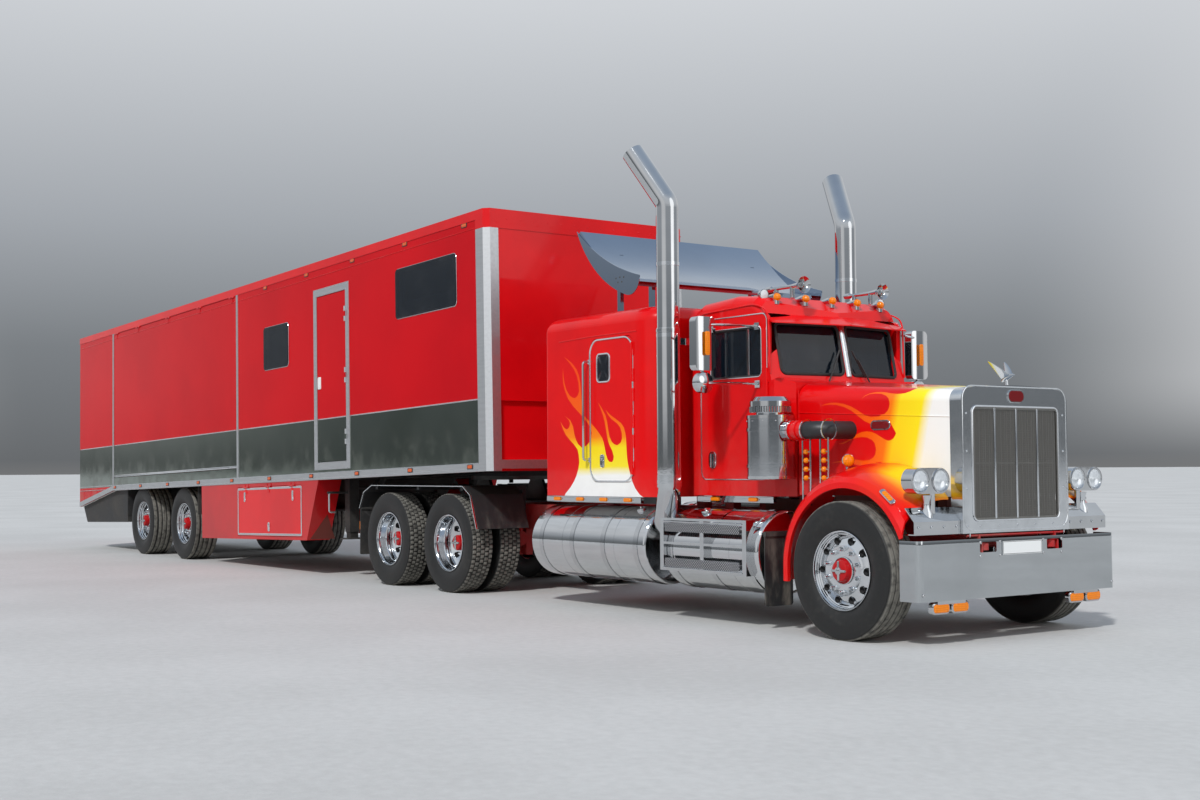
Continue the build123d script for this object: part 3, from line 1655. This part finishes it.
with BuildPart() as walk_door_leaf:
    add(leaf(walk_door).part)
    for place in door_hinges:
        add(knuckles((door_hinge_x, door_hinge_y, place), along_z, 0))
        with Locations((door_hinge_x - strap_reach / 2,
                        -wall_face - (frame_proud + strap_sheet) / 2, place)):
            Box(strap_reach, frame_proud + strap_sheet, knuckle_length)

with BuildPart() as flap_leaf:
    add(leaf(flap_opening).part)
    for place in flap_hinges:
        add(knuckles((place, side_hinge_y, flap_hinge_z), along_x, 0))
        with Locations((place, -wall_face - strap_sheet / 2, flap_hinge_z - strap_reach / 2)):
            Box(knuckle_length, strap_sheet, strap_reach)

# Rear ramp between the walls, hinged at the floor's end
with BuildPart() as rear_ramp:
    with Locations((box_rear + ramp_thickness / 2, 0, (ramp_bottom + ramp_top) / 2)):
        Box(ramp_thickness, 2 * (wall_inner - panel_gap), ramp_top - ramp_bottom)
    for place in ramp_hinges:
        add(knuckles((ramp_hinge_x, place, ramp_hinge_z), along_y, 0))
        with Locations((box_rear - strap_sheet / 2, place, ramp_hinge_z + strap_reach / 2)):
            Box(strap_sheet, knuckle_length, strap_reach)

# Trailer chassis: deep beams behind the legs, crossmembers, the coupler box with its pin,
# the boxed tail and mud flaps
beam_y = 500
beam_web = 12
beam_flange = 140
beam_bottom = -380
beam_front = -2600
neck_front = -2120
beam_rear = -9900
tail_box_front = -9760
tail_box_bottom = -540
coupler_rear, coupler_front, coupler_half = -620, 900, 600
coupler_drop = trailer_lift - coupling_height
flap_x = -6640
flap_inner = 860
leg_x = -2290
leg_y = 890
leg_width = 130
leg_bottom = -757
shaft_drop = 120
shaft_radius = 20
crossmember_pitch = 610
crossmember_width = 60
trailer_axle_places = (
    -trailer_axle_back + trailer_axle_spacing / 2,
    -trailer_axle_back - trailer_axle_spacing / 2,
)
with BuildPart() as trailer_chassis:
    with BuildSketch(beside(-coupler_half)):
        with BuildLine():
            Polyline(
                (coupler_rear, floor_bottom),
                (coupler_rear, true_height(coupler_rear, coupling_height)),
                (coupler_front, true_height(coupler_front, coupling_height)),
                (coupler_front, floor_bottom),
                close=True,
            )
        make_face()
    extrude(amount=-2 * coupler_half)
    place = box_front - 200
    while place > tail_kink:
        over_wheel = any(abs(place - x) < trailer_tyre_radius * 0.6 for x in trailer_axle_places)
        reach = beam_y + beam_flange / 2 if over_wheel else wall_inner
        with Locations((place, 0, (box_bottom + floor_bottom) / 2)):
            Box(crossmember_width, 2 * reach, floor_bottom - box_bottom)
        place -= crossmember_pitch
    for side in (-1, 1):
        with BuildSketch(beside(side * beam_y - beam_web / 2)):
            with BuildLine():
                Polyline(
                    (coupler_front, floor_bottom),
                    (coupler_front, box_bottom),
                    (neck_front, box_bottom),
                    (beam_front, beam_bottom),
                    (beam_rear, beam_bottom),
                    (beam_rear, floor_bottom),
                    close=True,
                )
            make_face()
        extrude(amount=-beam_web)
        with Locations(((beam_front + beam_rear) / 2, side * beam_y, beam_bottom - 7)):
            Box(beam_front - beam_rear, beam_flange, 14)
        for x in (flap_x, tail_box_front + 6):
            with Locations((x, side * (flap_inner + wall_inner - 8) / 2, -220)):
                Box(12, wall_inner - 8 - flap_inner, 420)
        with Locations((flap_x, side * (beam_y + wall_inner - 4) / 2, floor_bottom - 30)):
            Box(40, wall_inner - 4 - beam_y, 60)
    with BuildSketch(beside(-wall_inner)):
        with BuildLine():
            Polyline(
                (tail_box_front, box_bottom),
                (tail_kink, box_bottom),
                (box_rear + 30, box_bottom - tail_drop + 4),
                (box_rear + 240, tail_box_bottom),
                (tail_box_front, tail_box_bottom),
                close=True,
            )
        make_face()
    extrude(amount=-2 * wall_inner)
    with BuildSketch(beside(-beam_y - beam_web)):
        with Locations((leg_x, -shaft_drop)):
            Circle(shaft_radius + panel_gap)
    extrude(amount=-2 * (beam_y + beam_web), mode=Mode.SUBTRACT)
    plumb = Vector(-sin(pitch), 0, -cos(pitch))
    with BuildSketch(Plane(origin=plumb * coupler_drop, x_dir=(cos(pitch), 0, -sin(pitch)),
                           z_dir=plumb)):
        Circle(pin_radius)
    extrude(amount=pin_length)

# Trailer axles on trailing arms with air bags
trailer_spring_y = 500
with BuildPart() as trailer_axles:
    for x in trailer_axle_places:
        height = ground_height(x)
        for radius, reach in ((65, trailer_track / 2 + trailer_hub[0] - 5),
                              (spindle_radius, trailer_track / 2 + trailer_hub[1] - cap_depth - 5)):
            with BuildSketch(beside(0)):
                with Locations((x, height)):
                    Circle(radius)
            extrude(amount=reach, both=True)
        for side in (-1, 1):
            with BuildSketch(beside(side * trailer_spring_y - 40)):
                with BuildLine():
                    Polyline(
                        (x + 560, beam_bottom - 14),
                        (x + 440, beam_bottom - 14),
                        (x + 400, height - 20),
                        (x + 80, height - 30),
                        (x - 420, height - 40),
                        (x - 420, height - 95),
                        (x + 80, height - 95),
                        (x + 500, height - 80),
                        (x + 560, height + 10),
                        close=True,
                    )
                make_face()
            extrude(amount=-80)
            with BuildSketch(level(height - 40)):
                with Locations((x - 330, side * trailer_spring_y)):
                    Circle(100)
            extrude(amount=beam_bottom - 14 - height + 40)

# Toolboxes under the floor with a slanted front end, the right one open for its hatch
toolbox_inner = 980
toolbox_wall = 25
toolbox_bottom = -765
toolbox_outline = ((-6320, box_bottom), (-2400, box_bottom), (-2750, toolbox_bottom),
                   (-6300, toolbox_bottom))


def toolbox_block(outer, inset):
    with BuildPart() as block:
        with BuildSketch(beside(-toolbox_inner - inset)):
            with BuildLine():
                Polyline(*toolbox_outline, close=True)
            make_face()
            if inset:
                offset(amount=-inset, mode=Mode.REPLACE)
        extrude(amount=outer - toolbox_inner - 2 * inset)
    return block


with BuildPart() as toolboxes:
    add(toolbox_block(wall_face, 0).part)
    add(toolbox_block(wall_face, toolbox_wall).part, mode=Mode.SUBTRACT)
    mirror(about=Plane.XZ)
    rear, front, bottom, top = hatch_opening
    with BuildSketch(beside(-wall_face + 2 * toolbox_wall)):
        with Locations(((rear + front) / 2, (bottom + top) / 2)):
            Rectangle(front - rear, top - bottom)
    extrude(amount=3 * toolbox_wall, mode=Mode.SUBTRACT)
    for place in hatch_hinges:
        add(knuckles((place, side_hinge_y, hatch_hinge_z), along_x, 1))
        for middle in end_places(place):
            with Locations((middle, -wall_face - strap_sheet / 2,
                            hatch_hinge_z + plate_reach / 2)):
                Box(knuckle_length, strap_sheet, plate_reach)

with BuildPart() as toolbox_hatch:
    with BuildSketch(beside(-wall_face + toolbox_wall)):
        with Locations(((rear + front) / 2, (bottom + top) / 2)):
            Rectangle(front - rear - 2 * panel_gap, top - bottom - 2 * panel_gap)
    extrude(amount=toolbox_wall)
    for place in hatch_hinges:
        add(knuckles((place, side_hinge_y, hatch_hinge_z), along_x, 0))
        with Locations((place, -wall_face - strap_sheet / 2, hatch_hinge_z - strap_reach / 2)):
            Box(knuckle_length, strap_sheet, strap_reach)

# Landing gear: two square legs with feet, joined by a shaft, braced to the beams
with BuildPart() as landing_gear:
    for side in (-1, 1):
        with BuildSketch(level(box_bottom)):
            with Locations((leg_x, side * leg_y)):
                Rectangle(leg_width, leg_width)
        extrude(amount=leg_bottom - box_bottom + 90)
        with BuildSketch(level(leg_bottom)):
            with Locations((leg_x, side * leg_y)):
                Rectangle(leg_width - 24, leg_width - 24)
        extrude(amount=120)
        with BuildSketch(level(leg_bottom)):
            with Locations((leg_x, side * leg_y)):
                RectangleRounded(230, 250, 30)
        extrude(amount=18)
        with BuildSketch(across(leg_x - 15)):
            with BuildLine():
                Polyline(
                    (side * (leg_y - 40), -420),
                    (side * (leg_y - 40), -360),
                    (side * (beam_y + 60), box_bottom),
                    (side * (beam_y + 6), box_bottom),
                    close=True,
                )
            make_face()
        extrude(amount=30)
    with BuildSketch(beside(-leg_y)):
        with Locations((leg_x, -shaft_drop)):
            Circle(shaft_radius)
    extrude(amount=-2 * leg_y)
    with BuildSketch(beside(-leg_y)):
        with Locations((leg_x, -180)):
            Circle(14)
    extrude(amount=330)

wheel_trailer = [
    [wheel(x, ground_height(x), side, trailer_track / 2, trailer_tyre_width, trailer_tyre_radius,
           trailer_rows, trailer_hub) for side in (-1, 1)]
    for x in trailer_axle_places
]

# Every piece is named, placed in the common frame and written
tractor_pieces = {
    "chassis_frame": chassis_frame,
    "tow_eyes": tow_eyes,
    "front_brackets": front_brackets,
    "engine_and_radiator": engine_block,
    "front_axle": front_axle,
    "drive_axles": drive_axles,
    "suspension": suspension,
    "fifth_wheel": fifth_wheel,
    "cab_shell": cab_shell,
    "windshield_glass": cab_glass,
    "cab_interior": cab_interior,
    "sleeper_shell": sleeper_shell,
    "air_cleaners": air_cleaners,
    "front_bumper": front_bumper,
    "exhaust_stacks": exhaust_stacks,
    "fuel_tanks": fuel_tanks,
    "tank_straps_and_steps": tank_straps,
    "mudguards_and_flaps": drive_mudguards,
    "wind_deflector": wind_deflector,
    "lamps_and_horns": lamps_and_horns,
    "steering_knuckle_right": knuckle_right,
    "steering_knuckle_left": knuckle_left,
    "wheel_front_right": wheel_front_right,
    "wheel_front_left": wheel_front_left,
    "wheel_drive_1_right": drive_wheels[0][0],
    "wheel_drive_1_left": drive_wheels[0][1],
    "wheel_drive_2_right": drive_wheels[1][0],
    "wheel_drive_2_left": drive_wheels[1][1],
    "hood_panels": hood_panels,
    "fenders": fenders,
    "grille_shell": grille_shell,
    "grille_bars": grille_bars,
    "headlights": headlights,
    "intake_ducts": intake_ducts,
    "cab_door_right": door_right,
    "cab_door_left": door_left,
    "door_glass_right": door_glass_right,
    "door_glass_left": door_glass_left,
    "mirrors_right": mirror_right,
    "mirrors_left": mirror_left,
    "sleeper_door": sleeper_door,
}
trailer_pieces = {
    "trailer_chassis": trailer_chassis,
    "trailer_floor": trailer_floor,
    "trailer_wall_right": trailer_wall_right,
    "trailer_wall_left": trailer_wall_left,
    "trailer_front_wall": trailer_front_wall,
    "trailer_roof": trailer_roof,
    "trailer_trim": trailer_trim,
    "trailer_windows": trailer_windows,
    "trailer_axles": trailer_axles,
    "trailer_toolboxes": toolboxes,
    "toolbox_hatch": toolbox_hatch,
    "landing_gear": landing_gear,
    "trailer_door": walk_door_leaf,
    "trailer_side_flap": flap_leaf,
    "trailer_ramp": rear_ramp,
    "wheel_trailer_1_right": wheel_trailer[0][0],
    "wheel_trailer_1_left": wheel_trailer[0][1],
    "wheel_trailer_2_right": wheel_trailer[1][0],
    "wheel_trailer_2_left": wheel_trailer[1][1],
}
for pieces, place in ((tractor_pieces, tractor_place), (trailer_pieces, trailer_place)):
    for label, piece in pieces.items():
        piece.part.move(place)
        piece.part.label = label
        export_step(piece.part, f"parts/{label}.step")
